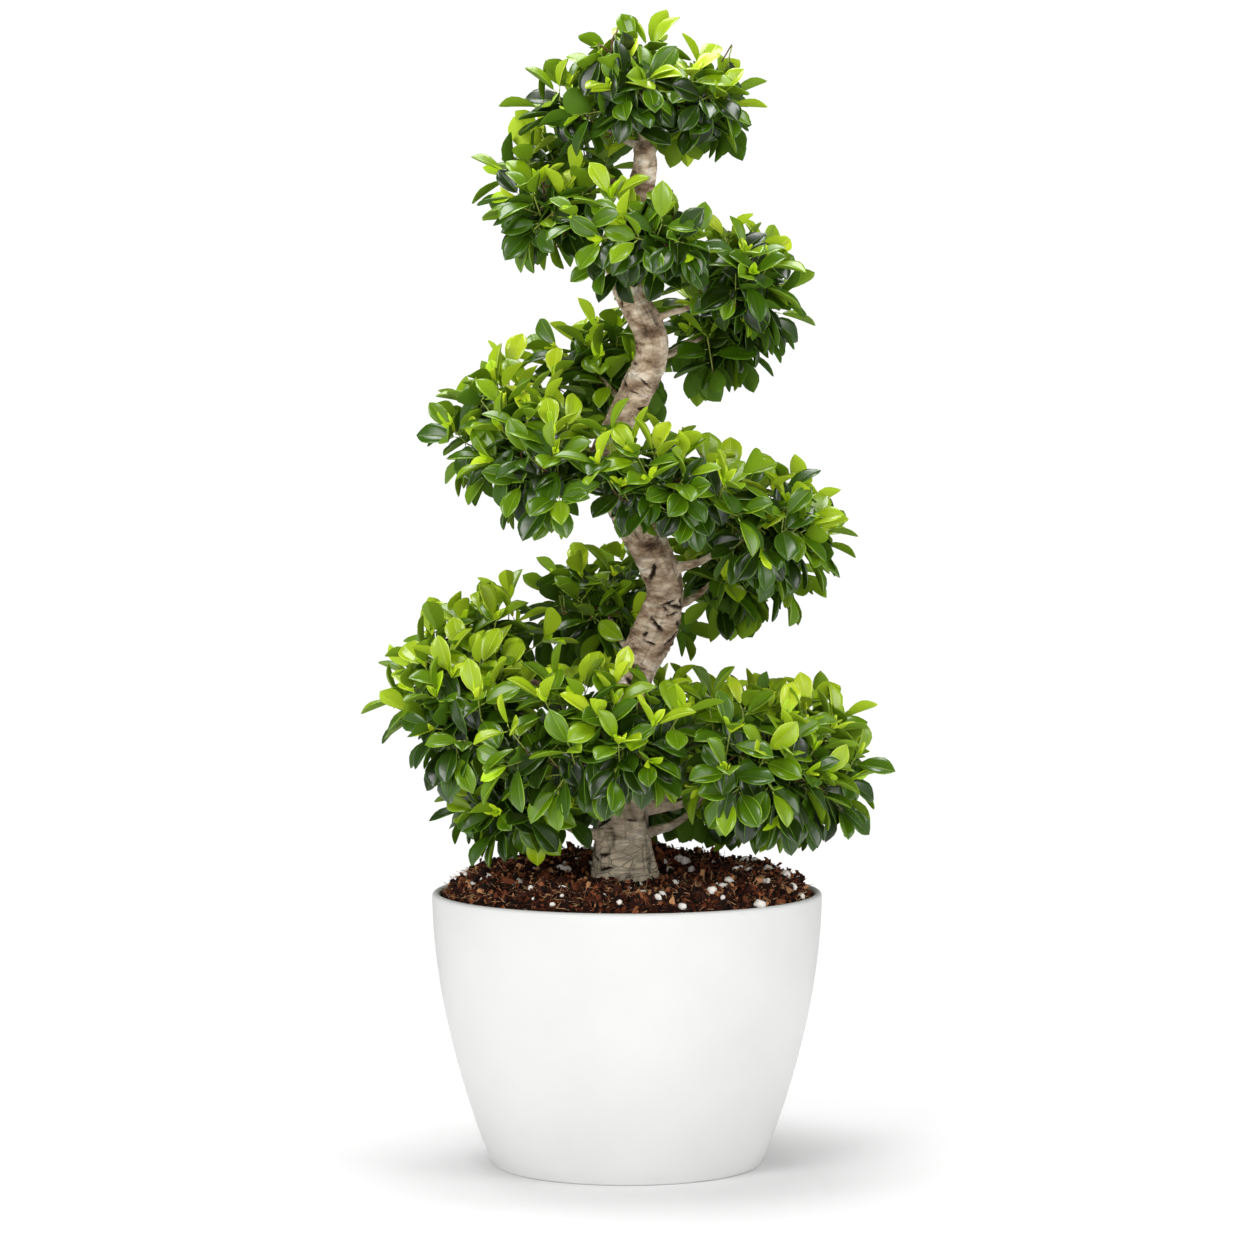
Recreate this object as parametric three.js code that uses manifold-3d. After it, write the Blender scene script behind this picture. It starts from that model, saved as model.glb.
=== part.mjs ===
// A spiral topiary ficus in a round planter: three turns of clipped foliage wind up a snaking trunk.
// Millimetres, +Z up. The origin is the centre of the planter's flat underside, and -Y is the front.
import * as THREE from "three";
import { mergeVertices } from "three/addons/utils/BufferGeometryUtils.js";
import Module from "manifold-3d";

const wasm = await Module();
wasm.setup();

// ---------- driving dimensions ----------
const GAP = 0.3; // clearance kept between pieces that touch

const POT = {
  height: 281, rimRadius: 200, footRadius: 139, // outside
  bulge: 1.85, // how soon the side reaches the rim's width: 1 is a straight cone
  wall: 8, floor: 10, footRound: 4, sides: 32, steps: 4,
};

const SOIL = {
  edgeBelowRim: 8, seatHeight: 289, seatRadius: 52, crestHeight: 301, crestRadius: 108,
  shoulder: 4, // how late the mound falls to its edge: 1 is a straight slope
  backRise: 7, // the mound stands this much higher behind the trunk and lower in front
};

const SOIL_EDGE = POT.height - SOIL.edgeBelowRim;

const TRUNK = {
  height: 1046, // of the fork
  footRadius: 24, forkRadius: 12.5,
  taper: 0.7, // it keeps its thickness low down: 1 is a straight taper
  flare: 10, flareHeight: 38, lobes: 3, lobeShare: 0.5, // its foot swells, more so on three sides
  footShift: -4, // how far right its foot stands
  bends: [[440, -16], [590, 41], [722, -20], [836, 27], [930, -13], [1000, 17]], // height, how far right
  depthShare: 0.8, // how far it swings front to back between two bends, as a share of their half width
  sides: 10, steps: 26,
};

// The spiral: t counts turns up from its lowest end, at the right. It runs by the front, left and back.
const SPIRAL = {
  startTurn: -0.19, endTurn: 2.66, // it starts level, behind the right side
  startHeight: 405, rise: 237,
  sag: 32, sagTurns: 0.95, // it starts out nearly level, and makes up for that behind the trunk
  tilt: 3, // the back of each turn stands this much higher than its front
  sideTilt: 10, // the right of its middle turns stands this much higher than their middle
  middleStart: 1, middleFull: 1.7, middleEnds: 2.1, middleGone: 2.6, // which turns those are
  reach: 270, reachLoss: 43, // from the middle line to the leaf tips, and its loss in each turn
  shift: -9, shiftGain: 8.5, // how far right the middle line stands, and its gain in each turn
  depth: 86, topDepth: 58, // half the width of the foliage, measured outwards
  thickness: 90, topThickness: 54, // half its height
  spacing: 178, topSpacing: 118, // between one mass and the next
  overlap: 0.82, // half a mass's length, as a share of the spacing
};

// In front of the trunk the foliage is clipped up from below, to show the trunk's bends.
const PARTING = { lift: 44, right: 34, width: 50 };

// Low masses under the first turn, all round but at the front, where the trunk's foot shows.
const SKIRT = { turns: [0.4, 0.56, 0.73, 0.9], height: 378, reach: 214, half: [78, 76, 66] };

// The clipped head on the trunk's fork: a ring of masses and one on top of them.
const HEAD = {
  shift: 12, ringTurns: [0.02, 0.27, 0.5, 0.76], ringHeight: 1082, ringReach: 122, ringHalf: [70, 58, 56],
  capHeight: 1110, capHalf: [84, 82, 57],
};

const BOUGH = {
  drop: 62, topDrop: 30, // from a mass's centre down to where its bough leaves the trunk
  belowFork: 12, bend: 0.16, thickness: 0.42, taper: 0.6, sides: 6, steps: 3,
  shortest: 12, // nearer to the trunk than this, foliage hides its bough
  tuck: 10, // how far its curve runs on into the foliage before it is cut
};

const MASS = { detail: 2, swell: 0.12, under: 0.88 }; // how uneven it is, and how flat underneath
const TURN = 2 * Math.PI;
const UP = new THREE.Vector3(0, 0, 1);

// ---------- solids ----------
// A closed geometry as a manifold-3d solid.
function solidOf(geometry) {
  const bare = geometry.clone();
  bare.deleteAttribute("normal");
  bare.deleteAttribute("uv");
  const merged = mergeVertices(bare, 1e-3);
  return new wasm.Manifold(new wasm.Mesh({
    numProp: 3,
    vertProperties: merged.attributes.position.array,
    triVerts: new Uint32Array(merged.index.array),
  }));
}

function geometryOf(solid) {
  const mesh = solid.getMesh();
  const geometry = new THREE.BufferGeometry();
  geometry.setAttribute("position", new THREE.BufferAttribute(new Float32Array(mesh.vertProperties), 3));
  geometry.setIndex(new THREE.BufferAttribute(new Uint32Array(mesh.triVerts), 1));
  return geometry;
}

// Moves every vertex of a geometry to where place(vertex) puts it.
function shaped(geometry, place) {
  const position = geometry.attributes.position;
  const point = new THREE.Vector3();
  for (let i = 0; i < position.count; i++) {
    point.fromBufferAttribute(position, i);
    place(point);
    position.setXYZ(i, point.x, point.y, point.z);
  }
  return geometry;
}

const mix = THREE.MathUtils.lerp;
const ease = THREE.MathUtils.smoothstep;

// ---------- planter ----------
function potRadius(z) {
  const fromRim = 1 - z / POT.height;
  return mix(POT.footRadius, POT.rimRadius, 1 - Math.pow(Math.max(0, fromRim), POT.bulge));
}

// Points of a profile along the planter's side, set in by a distance, between two heights.
function side(inset, fromZ, toZ, steps) {
  return Array.from({ length: steps + 1 }, (_, i) => {
    const z = mix(fromZ, toZ, i / steps);
    return new THREE.Vector2(potRadius(z) - inset, z);
  });
}

// Points of an arc about a centre, angles in degrees from outwards towards up.
function arc(x, z, radius, fromDeg, toDeg, steps) {
  return Array.from({ length: steps + 1 }, (_, i) => {
    const a = THREE.MathUtils.degToRad(mix(fromDeg, toDeg, i / steps));
    return new THREE.Vector2(x + radius * Math.cos(a), z + radius * Math.sin(a));
  });
}

function turned(profile, sides) {
  return new THREE.LatheGeometry(profile, sides).rotateX(Math.PI / 2);
}

function potGeometry() {
  const lip = POT.wall / 2;
  const rimZ = POT.height - lip;
  const profile = [
    new THREE.Vector2(0, 0),
    ...arc(POT.footRadius - POT.footRound, POT.footRound, POT.footRound, -90, -20, 2),
    ...side(0, 2 * POT.footRound, rimZ, POT.steps),
    ...arc(potRadius(rimZ) - lip, rimZ, lip, 30, 150, 3),
    ...side(POT.wall, rimZ, SOIL_EDGE, 1),
    ...side(POT.wall, SOIL_EDGE, POT.floor, POT.steps).slice(1),
    new THREE.Vector2(0, POT.floor),
  ];
  return turned(profile, POT.sides);
}

// ---------- soil ----------
const SOIL_INSET = POT.wall + GAP;
const SOIL_EDGE_RADIUS = potRadius(SOIL_EDGE) - SOIL_INSET;

// The height of the soil's surface at a distance from the trunk.
function moundHeight(r) {
  const { seatRadius, crestRadius, seatHeight, crestHeight } = SOIL;
  if (r <= crestRadius) return mix(seatHeight, crestHeight, ease(r, seatRadius, crestRadius));
  const toEdge = (r - crestRadius) / (SOIL_EDGE_RADIUS - crestRadius);
  return mix(crestHeight, SOIL_EDGE, Math.min(1, toEdge) ** SOIL.shoulder);
}

function soilGeometry() {
  const slope = [0.9, 0.75, 0.5, 0].map((share) => mix(SOIL.crestRadius, SOIL_EDGE_RADIUS, share));
  const seat = [0.5, 0].map((share) => mix(SOIL.seatRadius, SOIL.crestRadius, share));
  const profile = [
    new THREE.Vector2(0, POT.floor),
    ...side(SOIL_INSET, SOIL_EDGE, POT.floor, POT.steps).reverse(),
    ...[...slope, ...seat].map((r) => new THREE.Vector2(r, moundHeight(r))),
    new THREE.Vector2(0, SOIL.seatHeight),
  ];
  return shaped(turned(profile, POT.sides), (p) => {
    const r = Math.hypot(p.x, p.y);
    const onSlope = ease(r, SOIL.crestRadius, SOIL_EDGE_RADIUS);
    const onMound = ease(r, SOIL.seatRadius, SOIL.crestRadius) * (1 - onSlope);
    if (p.z > SOIL_EDGE) p.z += (SOIL.backRise * onMound * p.y) / SOIL.crestRadius;
    if (p.z === POT.floor) p.z += GAP;
  });
}

// ---------- limbs ----------
// A closed tapering limb along a curve: a cylinder bent to it.
// radiusAt takes the share along it and the angle round it.
function limbGeometry(curve, radiusAt, sides, steps) {
  const frames = curve.computeFrenetFrames(steps, false);
  return shaped(new THREE.CylinderGeometry(1, 1, 1, sides, steps), (p) => {
    const along = p.y + 0.5;
    const step = Math.round(along * steps);
    const angle = Math.atan2(p.z, p.x);
    const radius = Math.hypot(p.x, p.z) * radiusAt(along, angle);
    p.copy(curve.getPointAt(along))
      .addScaledVector(frames.normals[step], -radius * Math.cos(angle))
      .addScaledVector(frames.binormals[step], radius * Math.sin(angle));
  });
}

// ---------- trunk ----------
// It snakes in a spiral of its own, to the left and right and, between its bends, to the back and front.
const trunkCurve = (() => {
  const { bends, footShift, depthShare, height } = TRUNK;
  const seat = SOIL.seatHeight + GAP;
  const points = [0, 0.25, 0.5].map((share) => (
    new THREE.Vector3(footShift, 0, mix(seat, bends[0][0], share))
  ));
  bends.forEach(([z, x], i) => {
    points.push(new THREE.Vector3(x, 0, z));
    if (i === bends.length - 1) return;
    const [nextZ, nextX] = bends[i + 1];
    const halfWidth = (nextX - x) / 2;
    points.push(new THREE.Vector3(x + halfWidth, depthShare * halfWidth, (z + nextZ) / 2));
  });
  const forkX = bends.at(-1)[1];
  points.push(new THREE.Vector3(forkX, -depthShare * forkX, height));
  return new THREE.CatmullRomCurve3(points, false, "centripetal");
})();

// The trunk's plain radius, without the flare of its foot, at a share of the way up it.
function stemRadius(along) {
  return mix(TRUNK.forkRadius, TRUNK.footRadius, (1 - along) ** TRUNK.taper);
}

function trunkRadius(along, angle) {
  const height = along * (TRUNK.height - SOIL.seatHeight);
  const flare = TRUNK.flare * Math.exp(-((height / TRUNK.flareHeight) ** 2));
  const lobe = 1 + TRUNK.lobeShare * Math.cos(TRUNK.lobes * angle);
  return stemRadius(along) + flare * lobe;
}

function trunkSolid(grow) {
  return solidOf(limbGeometry(trunkCurve, (s, a) => trunkRadius(s, a) + grow, TRUNK.sides, TRUNK.steps));
}

// Where the trunk's middle line is at a height, and how far along it that is.
function trunkAt(z) {
  let low = 0;
  let high = 1;
  for (let i = 0; i < 24; i++) {
    const middle = (low + high) / 2;
    if (trunkCurve.getPointAt(middle).z < z) low = middle;
    else high = middle;
  }
  return { point: trunkCurve.getPointAt(low), along: low };
}

// ---------- foliage ----------
// The direction that leads outwards at t turns.
function outwards(t) {
  return new THREE.Vector3(Math.cos(TURN * t), -Math.sin(TURN * t), 0);
}

// The centre of the spiral's foliage at t turns, with its half width and half height.
function spiralAt(t) {
  const share = THREE.MathUtils.clamp(t / 3, 0, 1);
  const depth = mix(SPIRAL.depth, SPIRAL.topDepth, share);
  const sag = t > 0 && t < SPIRAL.sagTurns ? Math.sin((Math.PI * t) / SPIRAL.sagTurns) : 0;
  const middle = ease(t, SPIRAL.middleStart, SPIRAL.middleFull)
    * (1 - ease(t, SPIRAL.middleEnds, SPIRAL.middleGone));
  const tilt = SPIRAL.tilt * Math.sin(TURN * t) - SPIRAL.sideTilt * middle * Math.cos(TURN * t);
  const height = SPIRAL.startHeight + SPIRAL.rise * Math.max(0, t) - SPIRAL.sag * sag - tilt;
  const centre = new THREE.Vector3(SPIRAL.shift + SPIRAL.shiftGain * t, 0, height);
  centre.addScaledVector(outwards(t), SPIRAL.reach - SPIRAL.reachLoss * t - depth);
  return { depth, thickness: mix(SPIRAL.thickness, SPIRAL.topThickness, share), centre };
}

// A few soft waves over a sphere, different for each seed, from about -1 to 1.
function waves(direction, seed) {
  let sum = 0;
  for (let k = 1; k <= 3; k++) {
    const phase = seed * 12.9898 * k;
    sum += Math.sin(2.1 * k * direction.x + phase) * Math.cos(1.7 * k * direction.y - 1.3 * phase)
      + Math.sin(1.9 * k * direction.z + 0.7 * phase);
  }
  return sum / 5;
}

// One uneven mass of leaves: a sphere that is flatter underneath, stretched to its half sizes
// along its own way, outwards and up.
function massGeometry({ centre, along, out, half, isParted, seed }) {
  const up = new THREE.Vector3().crossVectors(along, out).normalize();
  const top = centre.z + half[2];
  return shaped(new THREE.IcosahedronGeometry(1, MASS.detail), (p) => {
    const size = 1 + MASS.swell * waves(p, seed);
    const [a, b, c] = [p.x, p.y, p.z < 0 ? p.z * MASS.under : p.z];
    p.copy(centre)
      .addScaledVector(along, a * half[0] * size)
      .addScaledVector(out, b * half[1] * size)
      .addScaledVector(up, c * half[2] * size);
    if (!isParted || p.y > 0) return;
    const below = THREE.MathUtils.clamp((top - p.z) / (2 * half[2]), 0, 1);
    p.z += PARTING.lift * below * Math.exp(-(((p.x - PARTING.right) / PARTING.width) ** 2));
  });
}

// A level way round the plant at t turns, in the sense in which the spiral rises.
function levelWay(t) {
  return new THREE.Vector3(-Math.sin(TURN * t), -Math.cos(TURN * t), 0);
}

// Where each mass of the spiral stands: they follow one another up it, closer together as it narrows.
function spiralMasses() {
  const masses = [];
  let t = SPIRAL.startTurn;
  while (t <= SPIRAL.endTurn) {
    const { centre, depth, thickness } = spiralAt(t);
    const ahead = spiralAt(t + 0.01).centre.sub(spiralAt(t - 0.01).centre);
    const step = mix(SPIRAL.spacing, SPIRAL.topSpacing, THREE.MathUtils.clamp(t / 3, 0, 1));
    const half = [SPIRAL.overlap * step, depth, thickness];
    masses.push({ t, centre, along: ahead.clone().normalize(), out: outwards(t), half, isParted: true });
    t += (step * 0.02) / ahead.length();
  }
  return masses;
}

// A mass that stands level at t turns round a middle line, with its outer side at a reach from it.
function levelMass(t, shift, height, reach, half) {
  const centre = new THREE.Vector3(shift, 0, height).addScaledVector(outwards(t), reach - half[1]);
  return { t, centre, along: levelWay(t), out: outwards(t), half };
}

function skirtMasses() {
  return SKIRT.turns.map((t) => levelMass(t, 0, SKIRT.height, SKIRT.reach, SKIRT.half));
}

function headMasses() {
  const { shift, ringHeight, ringReach, ringHalf, capHeight, capHalf } = HEAD;
  const ring = HEAD.ringTurns.map((t) => levelMass(t, shift, ringHeight, ringReach, ringHalf));
  return [...ring, levelMass(0, shift, capHeight, capHalf[1], capHalf)]
    .map((mass) => ({ ...mass, isParted: true }));
}

// The half of space beyond a plane, as far as anything reaches. The plane faces along its normal.
function beyond(point, normal) {
  const size = 2000;
  const box = new THREE.BoxGeometry(size, size, size).translate(0, 0, size / 2);
  const turn = new THREE.Quaternion().setFromUnitVectors(UP, normal);
  return solidOf(box.applyQuaternion(turn).translate(point.x, point.y, point.z));
}

// Two masses that meet are both cut back to a plane between them.
function partMasses(masses, solids) {
  for (let i = 0; i < masses.length; i++) {
    for (let j = i + 1; j < masses.length; j++) {
      if (solids[i].intersect(solids[j]).isEmpty()) continue;
      const across = masses[j].centre.clone().sub(masses[i].centre);
      const middle = masses[i].centre.clone().addScaledVector(across, 0.5);
      across.normalize();
      const back = across.clone().negate();
      solids[i] = solids[i].subtract(beyond(middle.clone().addScaledVector(across, -GAP / 2), across));
      solids[j] = solids[j].subtract(beyond(middle.clone().addScaledVector(back, -GAP / 2), back));
    }
  }
  return solids;
}

// ---------- boughs ----------
// Whether a point is inside a mass, taken as the plain ellipsoid of its half sizes.
function isInside({ centre, along, out, half }, point) {
  const from = point.clone().sub(centre);
  const up = new THREE.Vector3().crossVectors(along, out);
  return Math.hypot(from.dot(along) / half[0], from.dot(out) / half[1], from.dot(up) / half[2]) < 1;
}

// A bough leaves the trunk below its mass and bends up towards its middle, tapering,
// up to the first foliage that it enters. Returns null where foliage hides it from the trunk on.
function boughGeometry(mass, masses) {
  const drop = mix(BOUGH.drop, BOUGH.topDrop, THREE.MathUtils.clamp(mass.centre.z / TRUNK.height, 0, 1));
  const { point, along } = trunkAt(Math.min(mass.centre.z - drop, TRUNK.height - BOUGH.belowFork));
  const trunkHere = stemRadius(along);
  const elbow = point.clone().lerp(mass.centre, 0.5).addScaledVector(UP, -BOUGH.bend * drop);
  const whole = new THREE.QuadraticBezierCurve3(point, elbow, mass.centre);
  const length = whole.getLength();
  const isLeafy = (distance) => {
    const spot = whole.getPointAt(distance / length);
    return masses.some((other) => isInside(other, spot));
  };
  let reach = trunkHere;
  while (reach < length && !isLeafy(reach)) reach += 2;
  if (reach < trunkHere + BOUGH.shortest) return null;
  const share = whole.getUtoTmapping(Math.min(1, (reach + BOUGH.tuck) / length));
  const curve = new THREE.QuadraticBezierCurve3(
    point, point.clone().lerp(elbow, share), whole.getPoint(share),
  );
  const radius = BOUGH.thickness * trunkHere;
  return limbGeometry(curve, (s) => radius * mix(1, BOUGH.taper, s), BOUGH.sides, BOUGH.steps);
}

// ---------- assembly ----------
const MATERIALS = {
  pot: new THREE.MeshStandardMaterial({ color: 0xf2f2f0, roughness: 0.35, metalness: 0 }),
  soil: new THREE.MeshStandardMaterial({ color: 0x4a2f22, roughness: 1, metalness: 0 }),
  bark: new THREE.MeshStandardMaterial({ color: 0x9c8672, roughness: 0.85, metalness: 0 }),
  leaves: new THREE.MeshStandardMaterial({ color: 0x3f7a26, roughness: 0.4, metalness: 0 }),
};

const topiary = new THREE.Group();

function addPiece(name, geometry, material) {
  const mesh = new THREE.Mesh(geometry, material);
  mesh.name = name;
  topiary.add(mesh);
}

addPiece("pot", potGeometry(), MATERIALS.pot);
addPiece("soil", soilGeometry(), MATERIALS.soil);
addPiece("trunk", geometryOf(trunkSolid(0)), MATERIALS.bark);

const trunkGrown = trunkSolid(GAP);
const masses = [...spiralMasses(), ...skirtMasses(), ...headMasses()];
const whole = masses.map((mass, i) => solidOf(massGeometry({ ...mass, seed: i + 1 })));
const leafSolids = partMasses(masses, whole).map((solid) => solid.subtract(trunkGrown));

masses.forEach((mass, i) => {
  const number = String(i + 1).padStart(2, "0");
  addPiece(`leaf_mass_${number}`, geometryOf(leafSolids[i]), MATERIALS.leaves);
  const geometry = boughGeometry(mass, masses);
  if (!geometry) return;
  let bough = solidOf(geometry).subtract(trunkGrown);
  for (const solid of leafSolids) bough = bough.subtract(solid);
  addPiece(`bough_${number}`, geometryOf(bough), MATERIALS.bark);
});

export default topiary;
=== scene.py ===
import bpy
import numpy as np
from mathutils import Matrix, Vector
from mathutils.bvhtree import BVHTree


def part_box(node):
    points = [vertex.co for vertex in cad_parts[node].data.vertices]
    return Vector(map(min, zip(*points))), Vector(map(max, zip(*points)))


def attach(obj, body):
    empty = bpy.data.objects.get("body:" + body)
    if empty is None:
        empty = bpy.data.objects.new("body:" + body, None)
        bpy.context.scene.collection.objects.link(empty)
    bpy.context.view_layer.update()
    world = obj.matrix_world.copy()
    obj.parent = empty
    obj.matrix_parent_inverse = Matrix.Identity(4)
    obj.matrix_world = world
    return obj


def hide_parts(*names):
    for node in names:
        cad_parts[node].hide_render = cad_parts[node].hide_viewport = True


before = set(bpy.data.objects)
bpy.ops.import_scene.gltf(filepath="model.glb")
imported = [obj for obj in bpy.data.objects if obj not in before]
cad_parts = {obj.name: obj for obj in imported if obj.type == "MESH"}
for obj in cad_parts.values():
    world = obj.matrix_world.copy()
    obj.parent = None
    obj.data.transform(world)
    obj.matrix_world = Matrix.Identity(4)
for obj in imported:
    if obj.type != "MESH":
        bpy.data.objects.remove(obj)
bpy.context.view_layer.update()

# ---------- The planter ----------
# Slip-cast stoneware with a satin white glaze. Its side swells from a narrow flat foot to the rim, and the
# glaze is thick enough to round the lip. It stands on an unglazed foot with a small rounded edge.

POT_LOW, POT_HIGH = (np.array(corner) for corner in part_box("pot"))
POT_RIM = (POT_HIGH[0] - POT_LOW[0]) / 2
POT_HEIGHT = POT_HIGH[2]
POT_FOOT, POT_SWELL = 0.139, 1.85
POT_WALL, POT_FLOOR = 0.008, 0.010
FOOT_ROUND = 0.004
MIX_BELOW_RIM = 0.008


def side_radius(z):
    """Outside radius at a height: from foot to rim, the rest of the way to the rim shrinking as a power."""
    to_rim = np.clip(1 - np.asarray(z) / POT_HEIGHT, 0, 1)
    return POT_FOOT + (POT_RIM - POT_FOOT) * (1 - to_rim**POT_SWELL)


def arc(x, z, radius, start, end, count):
    """Points on a circle about (x, z), from a start to an end angle in degrees, outwards being 0."""
    a = np.radians(np.linspace(start, end, count))
    return np.stack([x + radius * np.cos(a), z + radius * np.sin(a)], axis=1)


def side_points(inset, start, end, count):
    """Points up or down the side, set in from its outside."""
    z = np.linspace(start, end, count)
    return np.stack([side_radius(z) - inset, z], axis=1)


def grid_faces(rows, columns):
    """Quads of a grid of points that closes on itself across its columns."""
    row, column = np.meshgrid(np.arange(rows - 1), np.arange(columns), indexing="ij")
    ahead = (column + 1) % columns
    quad = np.stack([row * columns + column, row * columns + ahead,
                     (row + 1) * columns + ahead, (row + 1) * columns + column], axis=-1)
    return quad.reshape(-1, 4)


def fan_faces(ring, pole, outwards):
    """Triangles from a ring of points to one pole, turned the one way or the other."""
    ahead = np.roll(ring, -1)
    pair = (ring, ahead) if outwards else (ahead, ring)
    return np.stack([*pair, np.full(len(ring), pole)], axis=1)


def tube_faces(rows, around):
    """Faces of a tube of rings, whose two ends close on the two points that follow the rings."""
    first = np.arange(around)
    return [(grid_faces(rows, around), 0),
            (fan_faces(first, rows * around, False), 0),
            (fan_faces(first + (rows - 1) * around, rows * around + 1, True), 0)]


def make_piece(name, points, face_sets, materials, sharp_angle=None):
    """One object from an array of points and sets of (faces, material numbers), shaded smooth."""
    mesh = bpy.data.meshes.new(name)
    mesh.vertices.add(len(points))
    mesh.vertices.foreach_set("co", np.asarray(points, np.float32).ravel())
    corners = np.concatenate([faces.ravel() for faces, _ in face_sets])
    sizes = np.concatenate([np.full(len(faces), faces.shape[1]) for faces, _ in face_sets])
    numbers = np.concatenate([np.broadcast_to(number, len(faces)) for faces, number in face_sets])
    mesh.loops.add(len(corners))
    mesh.loops.foreach_set("vertex_index", corners.astype(np.int32))
    mesh.polygons.add(len(sizes))
    mesh.polygons.foreach_set("loop_start", (np.cumsum(sizes) - sizes).astype(np.int32))
    mesh.polygons.foreach_set("material_index", numbers.astype(np.int32))
    mesh.polygons.foreach_set("use_smooth", np.ones(len(sizes), bool))
    mesh.update(calc_edges=True)
    mesh.validate()
    if sharp_angle is not None:
        mesh.set_sharp_from_angle(angle=np.radians(sharp_angle))
    for material in materials:
        mesh.materials.append(material)
    piece = bpy.data.objects.new(name, mesh)
    bpy.context.scene.collection.objects.link(piece)
    return piece


def full_turn(count):
    """Angles evenly spaced all the way round."""
    return np.linspace(0, 2 * np.pi, count, endpoint=False)


def turned(profile, around):
    """Points of a profile of (radius, height) carried round the Z axis, its two ends being single poles."""
    a = full_turn(around)
    ring = profile[1:-1]
    points = np.stack([ring[:, :1] * np.cos(a), ring[:, :1] * np.sin(a),
                       np.repeat(ring[:, 1:], around, axis=1)], axis=-1).reshape(-1, 3)
    poles = np.array([[0, 0, profile[0, 1]], [0, 0, profile[-1, 1]]])
    return np.concatenate([points, poles]), tube_faces(len(ring), around)


def srgb(code):
    """Linear colour of an sRGB hex code."""
    value = np.array([int(code[i:i + 2], 16) for i in (1, 3, 5)]) / 255
    linear = np.where(value <= 0.04045, value / 12.92, ((value + 0.055) / 1.055) ** 2.4)
    return (*linear.tolist(), 1.0)


def feed(material, node, inputs):
    """Gives each input of a node a value, or a link from another node's output."""
    for key, value in inputs.items():
        if isinstance(value, bpy.types.NodeSocket):
            material.node_tree.links.new(value, node.inputs[key])
        else:
            node.inputs[key].default_value = value


def add_node(material, kind, output, inputs=(), stops=(), **settings):
    """Adds a node, sets its settings, ramp stops and inputs, and returns one of its outputs."""
    node = material.node_tree.nodes.new("ShaderNode" + kind)
    for key, value in settings.items():
        setattr(node, key, value)
    for i, (place, code) in enumerate(stops):
        stop = node.color_ramp.elements[i] if i < 2 else node.color_ramp.elements.new(place)
        stop.position, stop.color = place, srgb(code)
    feed(material, node, dict(inputs))
    return node.outputs[output]


def noise(material, place, size, detail, roughness=0.5):
    """Noise whose grains are of a size in metres."""
    return add_node(material, "TexNoise", "Fac", {"Vector": place, "Scale": 1 / size, "Detail": detail,
                                                  "Roughness": roughness})


def bump(material, height, strength, depth):
    """A normal that shows a height from 0 to 1 as a relief of a depth in metres."""
    return add_node(material, "Bump", "Normal", {"Height": height, "Strength": strength, "Distance": depth})


def set_shader(material, **values):
    """Gives inputs of the material's Principled shader values or links; _ stands for a space in a name."""
    feed(material, material.node_tree.nodes["Principled BSDF"],
         {key.replace("_", " "): value for key, value in values.items()})


def new_material(name, **values):
    """A material of that name, with its Principled shader's values set."""
    material = bpy.data.materials.new(name)
    material.use_nodes = True
    set_shader(material, **values)
    return material


# Satin glaze on a cast body: soft wide highlights, a hardly visible ripple 14 mm from crest to crest where
# the glaze flowed, and a slightly cooler white where it lies thin.
satin_glaze = new_material("satin_white_glaze", Roughness=0.42, IOR=1.45)
place = add_node(satin_glaze, "TexCoord", "Object")
flow = noise(satin_glaze, place, 0.09, 3.0)
tone = add_node(satin_glaze, "ValToRGB", "Color", {"Fac": flow}, stops=[(0.3, "#D8D8D7"), (0.7, "#DCDCDB")])
ripple = noise(satin_glaze, place, 0.014, 1.0)
set_shader(satin_glaze, Base_Color=tone, Normal=bump(satin_glaze, ripple, 0.25, 0.0002))

lip = POT_WALL / 2
lip_height = POT_HEIGHT - lip
pot_profile = np.concatenate([
    [[0, 0]],
    [[POT_FOOT * 0.5, 0]],
    arc(POT_FOOT - FOOT_ROUND, FOOT_ROUND, FOOT_ROUND, -90, -15, 6),
    side_points(0, 2 * FOOT_ROUND, lip_height, 44),
    arc(side_radius(lip_height) - lip, lip_height, lip, 15, 165, 9),
    side_points(POT_WALL, lip_height, POT_FLOOR, 26),
    [[0, POT_FLOOR]],
])
points, faces = turned(pot_profile, 224)
planter = make_piece("planter", points, faces, [satin_glaze])
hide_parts("pot")
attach(planter, "root")

# ---------- The potting mix ----------
# Coarse bark and coir with perlite, heaped up round the trunk and settled just below the rim. The heap is one
# rough surface, and loose chips, fibres and perlite lie on it and in it, joined kind by kind.

HEAP_SEAT, HEAP_CREST = 0.289, 0.301
HEAP_SEAT_RADIUS, HEAP_CREST_RADIUS = 0.052, 0.108
HEAP_SHOULDER, HEAP_BACK_RISE = 4, 0.007
HEAP_RINGS, HEAP_AROUND, HEAP_DEEP = 110, 320, 0.03
LUMP_WIDE, CRUMB_WIDE, GRIT_WIDE = 0.022, 0.006, 0.0022
LUMP_HIGH, CRUMB_HIGH, GRIT_HIGH = 0.0042, 0.0018, 0.0007
QUIET_RADIUS, QUIET_SHARE = 0.175, 0.75
CHIP_COUNT, FIBRE_COUNT, PERLITE_COUNT = 7600, 2600, 115
CHIP_SHAPE, CHIP_MEAN, CHIP_LEAST = 2.6, 0.00120, 0.0015
CHIP_BROWNS = ["#1A0903", "#3A190B", "#602F17", "#88512F", "#B38258"]
CHIP_SHARES = [0.30, 0.27, 0.22, 0.14, 0.07]
CLOD_COUNT, CLOD_SHARE, CLOD_RADIUS = 150, 0.45, 0.0042
FIBRE_LENGTH = (0.006, 0.020)
GRAIN_MEAN, GRAIN_LEAST, GRAIN_MOST = 0.00095, 0.0012, 0.0052


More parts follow.
